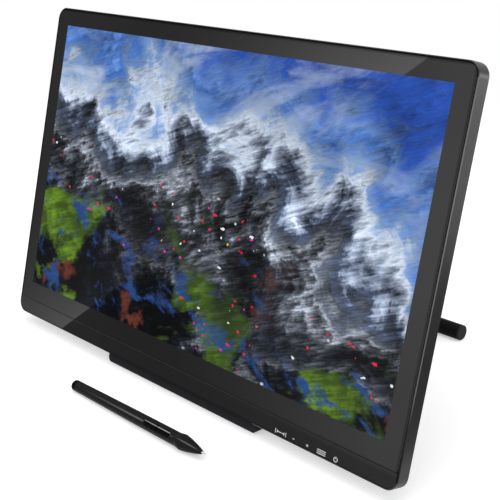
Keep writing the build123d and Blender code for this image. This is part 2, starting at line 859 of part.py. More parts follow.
with BuildPart() as hinge_washers:
    for number in range(washer_count):
        reach = leg_half_width + washer_gap + number * (washer_thickness + washer_gap)
        with BuildSketch(leg_side.offset(reach)):
            Circle(washer_radius)
            Circle(shaft_radius + fit_gap, mode=Mode.SUBTRACT)
        extrude(amount=washer_thickness)
    mirror(about=Plane.YZ)
save(hinge_washers, "hinge_washers")

# Leg: one sheet rolled round the shaft and round the rear bar, with folded sides and two windows
roll_inside = shaft_radius + run_gap
bar_roll_inside = bar_tube_radius + fit_gap
with BuildPart() as leg_plate:
    with BuildSketch(leg_side.offset(-leg_half_width)):
        with BuildLine():
            Polyline(
                (0, roll_inside),
                (leg_length, bar_roll_inside),
                (leg_length, bar_roll_inside + sheet),
                (0, roll_inside + sheet),
                close=True,
            )
        make_face()
        Circle(roll_inside + sheet)
        with Locations((leg_length, 0)):
            Circle(bar_roll_inside + sheet)
            Circle(bar_roll_inside, mode=Mode.SUBTRACT)
        Circle(roll_inside, mode=Mode.SUBTRACT)
    extrude(amount=2 * leg_half_width)
    with BuildSketch(leg_side.offset(leg_half_width - sheet)) as leg_fold:
        with Locations((leg_length / 2, bar_roll_inside + sheet / 2)):
            Rectangle(leg_length - 2 * leg_flange_clear, leg_flange, align=(Align.CENTER, Align.MAX))
        fillet(leg_fold.vertices().group_by(Axis.Y)[0], leg_flange / 2)
    extrude(amount=sheet)
    with BuildSketch(leg_side.offset(-leg_half_width)) as other_fold:
        with Locations((leg_length / 2, bar_roll_inside + sheet / 2)):
            Rectangle(leg_length - 2 * leg_flange_clear, leg_flange, align=(Align.CENTER, Align.MAX))
        fillet(other_fold.vertices().group_by(Axis.Y)[0], leg_flange / 2)
    extrude(amount=sheet)
    with BuildSketch(leg_top.offset(-clutch_radius)):
        with Locations((0, -clutch_radius)):
            Rectangle(
                2 * (clutch_half_width + clutch_clear),
                clutch_block_start + clutch_radius,
                align=(Align.CENTER, Align.MIN),
            )
    extrude(amount=2 * clutch_radius, mode=Mode.SUBTRACT)
    with BuildSketch(leg_top):
        with Locations((0, leg_window_start + leg_window_length / 2)):
            with GridLocations(2 * leg_window_spread, 0, 2, 1):
                SlotOverall(leg_window_length, leg_window_width, rotation=90)
        with Locations((0, (clutch_block_start + clutch_block_end) / 2)):
            with GridLocations(2 * clutch_screw_spread, 0, 2, 1):
                Circle(clutch_screw_radius + screw_gap)
    extrude(amount=clutch_radius, mode=Mode.SUBTRACT)
save(leg_plate, "leg_plate")

# Clutch housing on the leg, with the cheeks that carry the release lever
block_floor = roll_inside + sheet
with BuildPart() as clutch_housing:
    with BuildSketch(leg_side.offset(-clutch_half_width)):
        Circle(clutch_radius)
        with Locations((clutch_block_start, block_floor)):
            Rectangle(
                clutch_block_end - clutch_block_start,
                clutch_block_height,
                align=(Align.MIN, Align.MIN),
            )
        make_hull()
        with Locations((clutch_radius + fit_gap, block_floor + fit_gap)):
            Rectangle(
                clutch_block_end,
                2 * clutch_radius,
                align=(Align.MIN, Align.MAX),
                mode=Mode.SUBTRACT,
            )
        Circle(roll_inside, mode=Mode.SUBTRACT)
        with Locations((lever_pin_reach, lever_pin_height)):
            Circle(lever_pin_radius + fit_gap, mode=Mode.SUBTRACT)
    extrude(amount=2 * clutch_half_width)
    with BuildSketch(leg_side.offset(-clutch_cavity_half_width)):
        Circle(clutch_cavity_radius)
    extrude(amount=2 * clutch_cavity_half_width, mode=Mode.SUBTRACT)
    with BuildSketch(leg_side.offset(-lever_arm_half_width - lever_slot_gap)):
        with Locations((lever_pin_reach - lever_nose - lever_sheet, block_floor + lever_slot_floor)):
            Rectangle(clutch_block_end, clutch_block_end, align=(Align.MIN, Align.MIN))
    extrude(amount=2 * (lever_arm_half_width + lever_slot_gap), mode=Mode.SUBTRACT)
    with BuildSketch(leg_top.offset(block_floor)):
        with Locations((0, (clutch_block_start + clutch_block_end) / 2)):
            with GridLocations(2 * clutch_screw_spread, 0, 2, 1):
                Circle(clutch_screw_radius + fit_gap)
    extrude(amount=clutch_block_height / 2, mode=Mode.SUBTRACT)
save(clutch_housing, "clutch_housing")

with BuildPart() as clutch_spring:
    with BuildSketch(leg_side.offset(-clutch_cavity_half_width + clutch_clear)):
        Circle(clutch_spring_radius)
        Circle(roll_inside, mode=Mode.SUBTRACT)
    extrude(amount=2 * (clutch_cavity_half_width - clutch_clear))
save(clutch_spring, "clutch_spring")

with BuildPart() as clutch_screws:
    with BuildSketch(leg_top.offset(roll_inside - fit_gap)):
        with Locations((0, (clutch_block_start + clutch_block_end) / 2)):
            with GridLocations(2 * clutch_screw_spread, 0, 2, 1):
                Circle(clutch_screw_radius)
    extrude(amount=sheet + clutch_block_height / 2 - screw_gap)
    with BuildSketch(leg_top.offset(roll_inside - fit_gap)):
        with Locations((0, (clutch_block_start + clutch_block_end) / 2)):
            with GridLocations(2 * clutch_screw_spread, 0, 2, 1):
                Circle(clutch_screw_radius * 2)
    extrude(amount=-clutch_screw_radius)
save(clutch_screws, "clutch_screws")

# Release lever: arm on its pin between the cheeks, then a wider paddle with a turned-up lip
ramp_foot = (lever_pin_reach, lever_pin_height)
ramp_head = (lever_pin_reach + lever_ramp, lever_pin_height + lever_rise)
paddle_end = (lever_pin_reach + lever_length, lever_pin_height + lever_rise)
lip_end = (lever_pin_reach + lever_length + lever_lip, lever_pin_height + lever_rise + lever_lip)
with BuildPart() as release_lever:
    with BuildSketch(leg_side.offset(-lever_arm_half_width)):
        with BuildLine():
            FilletPolyline(
                (lever_pin_reach - lever_nose, lever_pin_height),
                ramp_foot,
                ramp_head,
                paddle_end,
                radius=lever_bend,
            )
        trace(line_width=lever_sheet)
        with Locations(ramp_foot):
            Circle(lever_hub_radius)
    extrude(amount=2 * lever_arm_half_width)
    with BuildSketch(leg_side.offset(-lever_paddle_half_width)):
        with BuildLine():
            FilletPolyline(ramp_head, paddle_end, lip_end, radius=lever_bend)
        trace(line_width=lever_sheet)
    extrude(amount=2 * lever_paddle_half_width)
    with BuildSketch(leg_side.offset(-lever_arm_half_width)):
        with Locations(ramp_foot):
            Circle(lever_pin_radius + run_gap)
    extrude(amount=2 * lever_arm_half_width, mode=Mode.SUBTRACT)
save(release_lever, "release_lever")

with BuildPart() as lever_pin:
    with BuildSketch(leg_side.offset(-clutch_half_width)):
        with Locations(ramp_foot):
            Circle(lever_pin_radius)
    extrude(amount=2 * clutch_half_width)
save(lever_pin, "lever_pin")

# Rear bar: tube through the leg's rolled edge, rubber sleeves on its ends, and end caps
sleeve_end = bar_length / 2 - bar_cap_thickness
with BuildPart() as rear_bar:
    with BuildSketch(leg_side.offset(-sleeve_end)):
        with Locations((leg_length, 0)):
            Circle(bar_tube_radius)
            Circle(bar_tube_radius - bar_tube_wall, mode=Mode.SUBTRACT)
    extrude(amount=2 * sleeve_end)
save(rear_bar, "rear_bar")

with BuildPart() as bar_sleeves:
    with BuildSketch(leg_side.offset(leg_half_width + washer_gap)):
        with Locations((leg_length, 0)):
            Circle(bar_sleeve_radius)
            Circle(bar_tube_radius + fit_gap, mode=Mode.SUBTRACT)
    extrude(amount=sleeve_end - leg_half_width - washer_gap)
    mirror(about=Plane.YZ)
save(bar_sleeves, "bar_sleeves")

with BuildPart() as bar_caps:
    with BuildSketch(leg_side.offset(sleeve_end)):
        with Locations((leg_length, 0)):
            Circle(bar_sleeve_radius)
    extrude(amount=bar_cap_thickness)
    fillet(bar_caps.edges().group_by(Axis.X)[-1], bar_cap_round)
    with BuildSketch(leg_side.offset(sleeve_end)):
        with Locations((leg_length, 0)):
            Circle(bar_tube_radius - bar_tube_wall - fit_gap)
    extrude(amount=-bar_plug_length)
    mirror(about=Plane.YZ)
save(bar_caps, "bar_caps")

# Pen barrel: tapering shell with the slot for its two side buttons
with BuildPart() as pen_barrel:
    with BuildSketch(pen_side):
        with BuildLine():
            outside = Spline(
                (pen_cap_length, pen_tail_radius),
                (pen_length * pen_middle_share, pen_middle_radius),
                (pen_barrel_end, pen_front_radius),
            )
            Polyline(
                outside @ 1,
                (pen_barrel_end, pen_bore_radius),
                (pen_cap_length, pen_bore_radius),
                outside @ 0,
            )
        make_face()
    revolve(axis=pen_axis)
    with BuildSketch(pen_above):
        with Locations((pen_slot_start + pen_slot_length / 2, 0)):
            SlotOverall(pen_slot_length, pen_slot_width)
    extrude(amount=2 * pen_flare_radius, mode=Mode.SUBTRACT)
save(pen_barrel, "pen_barrel")

# Pen nose: flared collar and cone, with a spigot in the barrel and a bore for the nib
with BuildPart() as pen_nose:
    with BuildSketch(pen_side):
        with BuildLine():
            collar = Spline(
                (pen_barrel_end + pen_shell_gap, pen_front_radius),
                (pen_flare_at, pen_flare_radius),
                tangents=((1, 0), (1, 0)),
            )
            cone = Spline(
                collar @ 1,
                (
                    (pen_flare_at + pen_cone_end) / 2,
                    (pen_flare_radius + pen_cone_end_radius) / 2 + pen_cone_swell,
                ),
                (pen_cone_end, pen_cone_end_radius),
            )
            Polyline(
                cone @ 1,
                (pen_cone_end, pen_nib_radius + fit_gap),
                (pen_cone_end - pen_nib_bore_length, pen_nib_radius + fit_gap),
                (pen_cone_end - pen_nib_bore_length, pen_coil_radius + fit_gap),
                (pen_barrel_end - pen_collar_length, pen_coil_radius + fit_gap),
                (pen_barrel_end - pen_collar_length, pen_bore_radius - fit_gap),
                (pen_barrel_end + pen_shell_gap, pen_bore_radius - fit_gap),
                collar @ 0,
            )
        make_face()
    revolve(axis=pen_axis)
save(pen_nose, "pen_nose")

with BuildPart() as pen_nib:
    with BuildSketch(pen_side):
        with BuildLine():
            Line((pen_cone_end - pen_nib_bore_length + pen_nib_travel, 0), (pen_length, 0))
            tip = RadiusArc(
                (pen_length, 0),
                (pen_length - pen_nib_radius, pen_nib_radius),
                -pen_nib_radius,
            )
            Polyline(
                tip @ 1,
                (pen_cone_end - pen_nib_bore_length + pen_nib_travel, pen_nib_radius),
                (pen_cone_end - pen_nib_bore_length + pen_nib_travel, 0),
            )
        make_face()
    revolve(axis=pen_axis)
save(pen_nib, "pen_nib")

with BuildPart() as pen_cap:
    with BuildSketch(pen_side):
        with BuildLine():
            Line((pen_cap_dome, pen_tail_radius), (pen_cap_length - pen_shell_gap, pen_tail_radius))
            Polyline(
                (pen_cap_length - pen_shell_gap, pen_tail_radius),
                (pen_cap_length - pen_shell_gap, pen_bore_radius - fit_gap),
                (pen_cap_length + pen_spigot_length, pen_bore_radius - fit_gap),
                (pen_cap_length + pen_spigot_length, 0),
                (0, 0),
                (0, pen_tail_radius - pen_cap_dome),
            )
            RadiusArc(
                (0, pen_tail_radius - pen_cap_dome),
                (pen_cap_dome, pen_tail_radius),
                pen_cap_dome,
            )
        make_face()
    revolve(axis=pen_axis)
save(pen_cap, "pen_cap")

# Pen buttons: two pills that share the slot, crowned to follow the barrel
button_room = (pen_slot_length - pen_button_split) / 2
for name, start in (("rear", pen_slot_start), ("front", pen_slot_start + button_room + pen_button_split)):
    with BuildPart() as pen_button:
        with BuildSketch(pen_above.offset(pen_button_floor)):
            with Locations((start + button_room / 2, 0)):
                RectangleRounded(
                    button_room - pen_button_gap,
                    pen_slot_width - 2 * pen_button_gap,
                    pen_slot_width / 2 - 2 * pen_button_gap,
                )
        extrude(amount=pen_flare_radius)
        with BuildSketch(pen_side):
            with Locations((pen_slot_start, 0)):
                Rectangle(
                    pen_slot_length,
                    pen_front_radius + pen_button_proud,
                    align=(Align.MIN, Align.MIN),
                )
        revolve(axis=pen_axis, mode=Mode.INTERSECT)
    save(pen_button, f"pen_{name}_button")

# Pen inside: cell behind, board under the buttons, and the coil round the nib's holder
cell_start = pen_cap_length + pen_spigot_length + pen_button_split
board_start = cell_start + pen_cell_length + pen_button_split
board_end = pen_barrel_end - pen_collar_length - pen_board_margin
coil_end = pen_cone_end - pen_nib_bore_length - pen_button_split
with BuildPart() as pen_cell:
    with BuildSketch(pen_side):
        with Locations((cell_start, 0)):
            Rectangle(pen_cell_length, pen_cell_radius, align=(Align.MIN, Align.MIN))
    revolve(axis=pen_axis)
save(pen_cell, "pen_cell")

with BuildPart() as pen_board:
    with BuildSketch(pen_above.offset(-pen_board_thickness / 2)):
        with Locations((board_start, 0)):
            Rectangle(board_end - board_start, pen_board_width, align=(Align.MIN, Align.CENTER))
    extrude(amount=pen_board_thickness)
save(pen_board, "pen_board")

with BuildPart() as pen_coil:
    with BuildSketch(pen_side):
        with Locations((coil_end, 0)):
            Rectangle(pen_coil_length, pen_coil_radius, align=(Align.MAX, Align.MIN))
    revolve(axis=pen_axis)
save(pen_coil, "pen_coil")
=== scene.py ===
import math
import bmesh
import bpy
from mathutils import Matrix, Vector


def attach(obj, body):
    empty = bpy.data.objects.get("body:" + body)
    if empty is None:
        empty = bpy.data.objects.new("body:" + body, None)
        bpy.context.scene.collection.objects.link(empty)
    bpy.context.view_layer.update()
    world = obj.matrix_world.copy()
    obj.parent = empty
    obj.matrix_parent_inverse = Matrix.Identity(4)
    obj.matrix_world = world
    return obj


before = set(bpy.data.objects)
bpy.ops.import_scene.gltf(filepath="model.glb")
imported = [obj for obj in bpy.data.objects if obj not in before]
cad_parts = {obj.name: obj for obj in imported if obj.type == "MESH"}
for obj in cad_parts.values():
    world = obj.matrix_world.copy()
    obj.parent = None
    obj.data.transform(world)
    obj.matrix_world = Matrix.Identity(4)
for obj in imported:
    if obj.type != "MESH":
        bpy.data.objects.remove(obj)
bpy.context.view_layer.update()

print("frame loaded, nodes:", len(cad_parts))

# The leaning display's own directions, and the matrix from picture places (across, up, proud) to the frame
display = {"lean": 13.24, "middle": (0.0, 0.023125, 0.176602), "activeHalf": (0.2383, 0.13405)}
leanAngle = math.radians(display["lean"])
panelUp = Vector((0, math.sin(leanAngle), math.cos(leanAngle)))
panelOut = Vector((0, -math.cos(leanAngle), math.sin(leanAngle)))
panelMiddle = Vector(display["middle"])
panelMatrix = Matrix(((1, panelUp.x, panelOut.x, panelMiddle.x), (0, panelUp.y, panelOut.y, panelMiddle.y),
                      (0, panelUp.z, panelOut.z, panelMiddle.z), (0, 0, 0, 1)))

# Camera at the photograph's place
photoCamera = {"place": (0.67898, -0.5652, 0.43298), "forward": (-0.6866, 0.6538, -0.3180), "lens": 76.35,
               "sensor": 36, "nearest": 0.02, "farthest": 60}
cameraData = bpy.data.cameras.new("photoCamera")
cameraData.sensor_width = photoCamera["sensor"]
cameraData.lens = photoCamera["lens"]
cameraData.clip_start = photoCamera["nearest"]
cameraData.clip_end = photoCamera["farthest"]
camera = bpy.data.objects.new("photoCamera", cameraData)
bpy.context.scene.collection.objects.link(camera)
camera.location = photoCamera["place"]
camera.rotation_mode = "QUATERNION"
camera.rotation_quaternion = Vector(photoCamera["forward"]).to_track_quat("-Z", "Y")
bpy.context.scene.camera = camera
bpy.context.scene.view_settings.view_transform = "Standard"
print("camera placed")


# Materials
noiseMiddle = 0.5  # the mean of a noise


class Value:
    # one output socket, so that shader maths can be written as an expression
    def __init__(self, nodes, socket):
        self.nodes = nodes
        self.socket = socket

    def maths(self, operation, *others):
        return self.nodes.maths(operation, self, *others)

    def __add__(self, other):
        return self.maths("ADD", other)

    def __sub__(self, other):
        return self.maths("SUBTRACT", other)

    def __rsub__(self, other):
        return self.nodes.maths("SUBTRACT", other, self)

    def __mul__(self, other):
        return self.maths("MULTIPLY", other)

    def __truediv__(self, other):
        return self.maths("DIVIDE", other)

    def __rtruediv__(self, other):
        return self.nodes.maths("DIVIDE", other, self)

    def __abs__(self):
        return self.maths("ABSOLUTE")

    def __lt__(self, other):
        return self.maths("LESS_THAN", other)

    def __gt__(self, other):
        return self.maths("GREATER_THAN", other)


class Nodes:
    # makes the nodes of one tree
    def __init__(self, tree):
        self.tree = tree

    def feed(self, socket, value):
        if isinstance(value, Value):
            self.tree.links.new(value.socket, socket)
        elif socket.type == "RGBA" and len(value) == 3:
            socket.default_value = (*value, 1)
        else:
            socket.default_value = value

    def add(self, kind, settings=None, sockets=None, output=0):
        node = self.tree.nodes.new(kind)
        for key, value in (settings or {}).items():
            if key == "stops":
                ramp = node.color_ramp
                while len(ramp.elements) < len(value):
                    ramp.elements.new(1)
                for element, (place, colour) in zip(ramp.elements, value):
                    element.position = place
                    element.color = (*colour, 1)
            elif key == "interpolation":
                node.color_ramp.interpolation = value
            else:
                setattr(node, key, value)
        for key, value in (sockets or {}).items():
            self.feed(node.inputs[key], value)
        return Value(self, node.outputs[output])

    def maths(self, operation, *terms):
        return self.add("ShaderNodeMath", {"operation": operation}, dict(enumerate(terms)))

    def total(self, shares, *values):
        # the sum of the values, each times its share
        result = values[0] * shares[0]
        for value, share in zip(values[1:], shares[1:]):
            result = result + value * share
        return result

    def place(self):
        return self.add("ShaderNodeTexCoord", output="Object")

    def along(self, direction, origin=(0, 0, 0)):
        # how far a point lies from the origin along a direction, in metres
        moved = self.add("ShaderNodeVectorMath", {"operation": "SUBTRACT"}, {0: self.place(), 1: origin})
        sockets = {0: moved, 1: tuple(direction)}
        return self.add("ShaderNodeVectorMath", {"operation": "DOT_PRODUCT"}, sockets, "Value")

    def joined(self, x, y, z=0.0):
        return self.add("ShaderNodeCombineXYZ", None, {0: x, 1: y, 2: z})

    def grey(self, value):
        return self.joined(value, value, value)

    def noise(self, where, scale, detail=4.0, roughness=0.5, distortion=0.0):
        sockets = {"Vector": where, "Scale": scale, "Detail": detail, "Roughness": roughness,
                   "Distortion": distortion}
        return self.add("ShaderNodeTexNoise", None, sockets)

    def eased(self, value, low, high, start=0.0, end=1.0):
        sockets = {"Value": value, "From Min": low, "From Max": high, "To Min": start, "To Max": end}
        return self.add("ShaderNodeMapRange", {"interpolation_type": "SMOOTHSTEP"}, sockets)

    def mixed(self, factor, first, second, kind="MIX"):
        # a mix of colours has its factor, its two colours and its result at these numbers
        settings = {"data_type": "RGBA", "blend_type": kind}
        return self.add("ShaderNodeMix", settings, {0: factor, 6: first, 7: second}, 2)

    def ramp(self, factor, stops, interpolation="LINEAR"):
        settings = {"stops": stops, "interpolation": interpolation}
        return self.add("ShaderNodeValToRGB", settings, {"Fac": factor})


class Finish(Nodes):
    # one material, whose constants are set directly on the Principled shader
    def __init__(self, name, **constants):
        self.material = bpy.data.materials.new(name)
        self.material.use_nodes = True
        super().__init__(self.material.node_tree)
        self.shader = self.tree.nodes["Principled BSDF"]
        self.set(**constants)

    def set(self, **sockets):
        for key, value in sockets.items():
            name = "".join(" " + letter if letter.isupper() else letter for letter in key).strip().title()
            self.feed(self.shader.inputs[name.replace("Ior", "IOR")], value)

    def fedColour(self):
        # what feeds the base colour so far
        return Value(self, self.shader.inputs["Base Color"].links[0].from_socket)

    def bump(self, height, strength, distance):
        sockets = {"Height": height, "Strength": strength, "Distance": distance}
        self.set(Normal=self.add("ShaderNodeBump", None, sockets))


# What all grained finishes share: noise is scale, detail, roughness; the grain's own scale is in each look
wear = {"cloud": (14.0, 3.0, 0.6), "grain": (2.0, 0.6), "cloudRange": (0.25, 0.75), "smoother": 0.04,
        "rougher": 0.05, "grainRough": 0.06, "glossRoughness": 0.03, "specular": 0.5, "grainHeight": 0.0001}


def grainedFinish(name, look):
    # moulded plastic, powder coat or rubber: two close colours, worn gloss and a fine raised grain
    made = Finish(name, SpecularIorLevel=look.get("specular", wear["specular"]))
    cloud = made.noise(made.place(), *wear["cloud"])
    grain = made.noise(made.place(), look["grainScale"], *wear["grain"])
    made.set(BaseColor=made.mixed(cloud, look["dark"], look["light"]))
    smoothest, roughest = look["roughness"] - wear["smoother"], look["roughness"] + wear["rougher"]
    rough = made.eased(cloud, *wear["cloudRange"], smoothest, roughest)
    made.set(Roughness=rough + (grain - noiseMiddle) * wear["grainRough"])
    made.bump(grain, look["grainDepth"], look.get("grainHeight", wear["grainHeight"]))
    if "gloss" in look:
        made.set(CoatWeight=look["gloss"], CoatRoughness=wear["glossRoughness"])
    return made


# Depths are measured out from the glass, and each chamfer value is two rises and what they give there
# The rim's paler colour over the foot is painted light, lifting the shade there
frameLook = {"dark": (0.014, 0.014, 0.015), "light": (0.021, 0.021, 0.022), "roughness": 0.30,
             "grainScale": 2600.0, "grainDepth": 0.10, "specular": 0.0, "gloss": 0.68,
             "rim": (0.0015, 0.0015, 0.0015), "rimPaintedLight": (0.022, 0.022, 0.023), "rimRise": -0.160,
             "rimDepth": -0.0022, "footHalf": 0.104, "flatDepth": -0.0002, "flatDull": 0.8,
             "chamferDepth": -0.00085, "chamferDull": (-0.092, -0.118, 0.0, 0.85),
             "chamferShine": (-0.06, 0.05, 0.0, 0.32)}


def frameFinish(name, look):
    # the frame's own plastic: its flat front is dark and dull, its chamfer is glossiest high up and dull low
    # down, and the front rim below the chin is as dark as the chin, except over the foot, where it has no
    # gloss and a paler base colour, painted light that lifts the shade where the rim faces down over the foot
    made = grainedFinish(name, look)
    rise = made.along(panelUp, display["middle"])
    proud = made.along(panelOut, display["middle"])
    rim = (rise < look["rimRise"]) * (proud > look["rimDepth"])
    flat = proud > look["flatDepth"]
    chamfer = (proud > look["chamferDepth"]) - flat
    dullAndPaintedLightOverFoot = rim * (abs(made.along((1, 0, 0))) < look["footHalf"])
    edged = made.mixed(rim.maths("MAXIMUM", flat), made.fedColour(), look["rim"])
    # painted light: over the foot the rim is painted paler, where it lies in shade
    made.set(BaseColor=made.mixed(dullAndPaintedLightOverFoot, edged, look["rimPaintedLight"]))
    dulled = flat * look["flatDull"]
    gloss = (1 - dulled - chamfer * made.eased(rise, *look["chamferDull"])) * look["gloss"]
    gloss = gloss + chamfer * made.eased(rise, *look["chamferShine"])
    made.set(CoatWeight=gloss + rim * (1 - gloss) - dullAndPaintedLightOverFoot, CoatRoughness=look["roughness"])
    return made


# The pen's axis from its tail: how far it rises for each metre along x
penLine = {"tail": (-0.073, -0.071, 0.0051), "rise": 0.0119}
penAlong = Vector((1, 0, penLine["rise"])).normalized()
penAbove = Vector((-penLine["rise"], 0, 1)).normalized()


def highlightPaintedFinish(name, look):
    # a grained finish with a painted highlight: a soft pale line in the base colour along the pen, turned
    # from upright toward the front
    made = grainedFinish(name, look)
    turn = math.radians(look["highlightTurn"])
    facing = penAbove * math.cos(turn) - Vector((0, math.sin(turn), 0))
    sideways = penAbove * math.sin(turn) + Vector((0, math.cos(turn), 0))
    aside = abs(made.along(sideways, penLine["tail"]))
    reach = made.along(penAlong, penLine["tail"])
    outside = made.along(facing, penLine["tail"]) > 0
    paintedHighlight = made.eased(aside, 0.0, look["highlightHalf"], 1.0, 0.0) * outside
    paintedHighlight = paintedHighlight * made.eased(reach, *look["highlightStart"]) * made.eased(reach, *look["highlightEnd"])
    # painted highlight: the base colour is paler along this line
    made.set(BaseColor=made.mixed(paintedHighlight, made.fedColour(), look["paintedHighlight"]))
    return made


# What all metals share: noise is scale, detail, roughness; the lines' own scale is in each look
drawn = {"lines": (1.0, 3.0, 0.6), "cloud": (40.0, 3.0, 0.5), "cloudRange": (0.3, 0.7), "smoother": 0.05,
         "rougher": 0.06, "lineDepth": 0.12, "lineHeight": 0.00005}


def metalFinish(name, look):
    # bare or plated metal with fine drawn lines along one direction
    made = Finish(name, Metallic=1.0)
    axes = ((1, 0, 0), (0, 1, 0), (0, 0, 1))
    stretched = made.joined(*(made.along(axis) * scale for axis, scale in zip(axes, look["lineScale"])))
    lines = made.noise(stretched, *drawn["lines"])
    cloud = made.noise(made.place(), *drawn["cloud"])
    made.set(BaseColor=made.mixed(lines, look["dark"], look["light"]))
    smoothest, roughest = look["roughness"] - drawn["smoother"], look["roughness"] + drawn["rougher"]
    made.set(Roughness=made.eased(cloud, *drawn["cloudRange"], smoothest, roughest))
    made.bump(lines, drawn["lineDepth"], drawn["lineHeight"])
    return made


# The picture, an abstract of flowing paint. Noise is scale, detail, roughness and distortion. A place is how
# much across and up count for each of its two directions, and a shift. Edges and heights are two values, and
# what they give there. Heights go from about 0 at the foot of the picture to about 1 at its top.
paint = {
    "swell": (1.5, 3.0, 0.5, 0.9),
    "curl": (4.4, 9.0, 0.62, 1.1),
    "strokes": {"noise": (1.0, 6.0, 0.66), "lengthShares": (9.0, 5.0, 3.0), "widthShares": (44.0, -17.0)},
    "bristles": (3.1, 4.0, 0.6),
    "height": {"scale": 0.95, "middle": 0.5, "shares": (1.0, 0.24, 0.95, 0.46, 0.17)},
    "shade": {"shares": (2.6, 1.7, 1.1), "depth": (0.72, 0.45, 1.68, 2.02), "least": 0.06,
              "contrast": (0.72, 0.45, 1.0, 2.7)},
    "veil": {"place": ((0.8, 0.0, 2.0), (-0.3, 1.9, 0.0)), "noise": (2.6, 8.0, 0.62, 0.9),
             "edge": (0.46, 0.64), "height": (0.60, 0.74), "side": (0.9, -0.7, 0.30, 0.90),
             "colours": ((0.20, 0.29, 0.44), (0.68, 0.76, 0.88))},
    "lowHeight": (0.42, 0.20),
    "greens": {"place": ((1.2, 0.0, 4.0), (0.0, 1.6, 0.0)), "noise": (2.1, 5.0, 0.55, 0.6),
               "edge": (0.52, 0.60), "toneShares": (0.7, 0.75), "toneShift": 0.22},
    "rust": {"place": ((1.0, 0.0, 9.0), (0.0, 1.0, 0.0)), "noise": (3.3, 4.0, 0.6, 0.5),
             "edge": (0.60, 0.66), "colours": ((0.03, 0.006, 0.004), (0.20, 0.05, 0.03))},
    "pools": {"place": ((1.0, 0.0, -5.0), (0.5, 1.5, 0.0)), "noise": (6.5, 7.0, 0.66, 0.5),
              "edge": (0.53, 0.64), "colours": ((0.004, 0.012, 0.06), (0.035, 0.11, 0.36))},
    "flecks": {"scale": 26.0, "curlShare": 0.12, "upShare": 1.25, "radius": 0.16, "edge": (0.44, 0.50),
               "top": (0.50, 0.40), "foot": (0.12, 0.22), "missingTone": 0.5, "missingHalf": 0.03},
}
ribbonStops = [
    (0.0, (0.003, 0.004, 0.007)), (0.14, (0.010, 0.013, 0.020)), (0.20, (0.050, 0.058, 0.075)),
    (0.24, (0.20, 0.22, 0.26)), (0.28, (0.030, 0.036, 0.050)), (0.38, (0.055, 0.062, 0.078)),
    (0.44, (0.16, 0.18, 0.22)), (0.48, (0.42, 0.47, 0.56)), (0.52, (0.09, 0.105, 0.14)),
    (0.58, (0.05, 0.07, 0.12)), (0.64, (0.30, 0.36, 0.48)), (0.68, (0.60, 0.68, 0.80)),
    (0.73, (0.16, 0.27, 0.50)), (0.82, (0.045, 0.13, 0.41)), (0.90, (0.10, 0.20, 0.48)),
    (1.0, (0.014, 0.06, 0.32)),
]
greenStops = [(0.0, (0.010, 0.016, 0.004)), (0.45, (0.045, 0.085, 0.010)), (0.7, (0.17, 0.33, 0.02)),
              (1.0, (0.50, 0.66, 0.12))]
fleckStops = [(0.0, (0.75, 0.02, 0.05)), (0.44, (0.85, 0.55, 0.02)), (0.52, (0.62, 0.03, 0.40)),
              (0.60, (0.80, 0.82, 0.85))]


def paintLayer(made, wide, tall, layer):
    # the noise of one layer at its own place
    rows = (wide * row[0] + tall * row[1] + row[2] for row in layer["place"])
    return made.noise(made.joined(*rows), *layer["noise"])


def pictureColour(made, across, rise):
    # blue, pale and slate ribbons on a slant, with a pale veil above, and drifts and bright flecks low down
    size = 2 * display["activeHalf"][1]
    wide, tall = across / size, rise / size
    ground = made.joined(wide, tall)
    swell = made.noise(ground, *paint["swell"])
    curl = made.noise(ground, *paint["curl"])
    strokeLength = made.total(paint["strokes"]["lengthShares"], wide, tall, curl)
    slanted = made.joined(strokeLength, made.total(paint["strokes"]["widthShares"], tall, wide))
    strokes = made.noise(slanted, *paint["strokes"]["noise"])
    bristles = made.noise(slanted, *paint["bristles"])
    level = tall * paint["height"]["scale"] + paint["height"]["middle"]
    bends = (noise - noiseMiddle for noise in (swell, curl, strokes))
    height = made.total(paint["height"]["shares"], level, wide, *bends)

    look = paint["shade"]
    relief = made.total(look["shares"], curl, strokes, bristles)
    shade = (relief - made.eased(height, *look["depth"])).maths("MAXIMUM", look["least"])
    shade = shade.maths("POWER", made.eased(height, *look["contrast"]))
    lit = made.mixed(1.0, made.ramp(height, ribbonStops), made.grey(shade), "MULTIPLY")

    look = paint["veil"]
    pale = made.eased(paintLayer(made, wide, tall, look), *look["edge"]) * made.eased(height, *look["height"])
    pale = pale * made.eased(wide, *look["side"])
    lit = made.mixed(pale, lit, made.mixed(curl, *look["colours"]))

    look = paint["greens"]
    low = made.eased(height, *paint["lowHeight"])
    drift = paintLayer(made, wide, tall, look)
    greens = made.ramp(made.total(look["toneShares"], strokes, curl) - look["toneShift"], greenStops)
    lit = made.mixed(made.eased(drift, *look["edge"]) * low, lit, greens)
    for look in (paint["rust"], paint["pools"]):
        patch = made.eased(paintLayer(made, wide, tall, look), *look["edge"]) * low
        lit = made.mixed(patch, lit, made.mixed(strokes, *look["colours"]))

    look = paint["flecks"]
    where = made.joined(wide + curl * look["curlShare"], tall * look["upShare"])
    cells = {"Vector": where, "Scale": look["scale"]}
    near = made.add("ShaderNodeTexVoronoi", None, cells, "Distance")
    tone = made.add("ShaderNodeTexVoronoi", None, cells, "Color")
    fleck = (near < look["radius"]) * made.eased(drift, *look["edge"])
    fleck = fleck * made.eased(height, *look["top"]) * made.eased(height, *look["foot"])
    fleck = fleck * (abs(tone - look["missingTone"]) > look["missingHalf"])
    return made.mixed(fleck, lit, made.ramp(tone, fleckStops, "CONSTANT"))


# Glass: a printed black border and, inside it, the lit picture
glassLook = {"ink": (0.0045, 0.0045, 0.005), "inkLight": (0.007, 0.007, 0.0075),
             "unlit": (0.004, 0.004, 0.005), "noLight": (0.0, 0.0, 0.0), "roughness": 0.5,
             "glossRoughness": 0.02, "smear": (9.0, 3.0, 0.5), "smearGloss": (0.2, 0.8, 0.94, 1.0),
             "borderGloss": 1.0, "pictureGloss": 0.16,
             "sideEdge": (0.2525, 0.2550, 1.0, 0.4), "topEdge": (0.1470, 0.1493, 1.0, 0.4)}


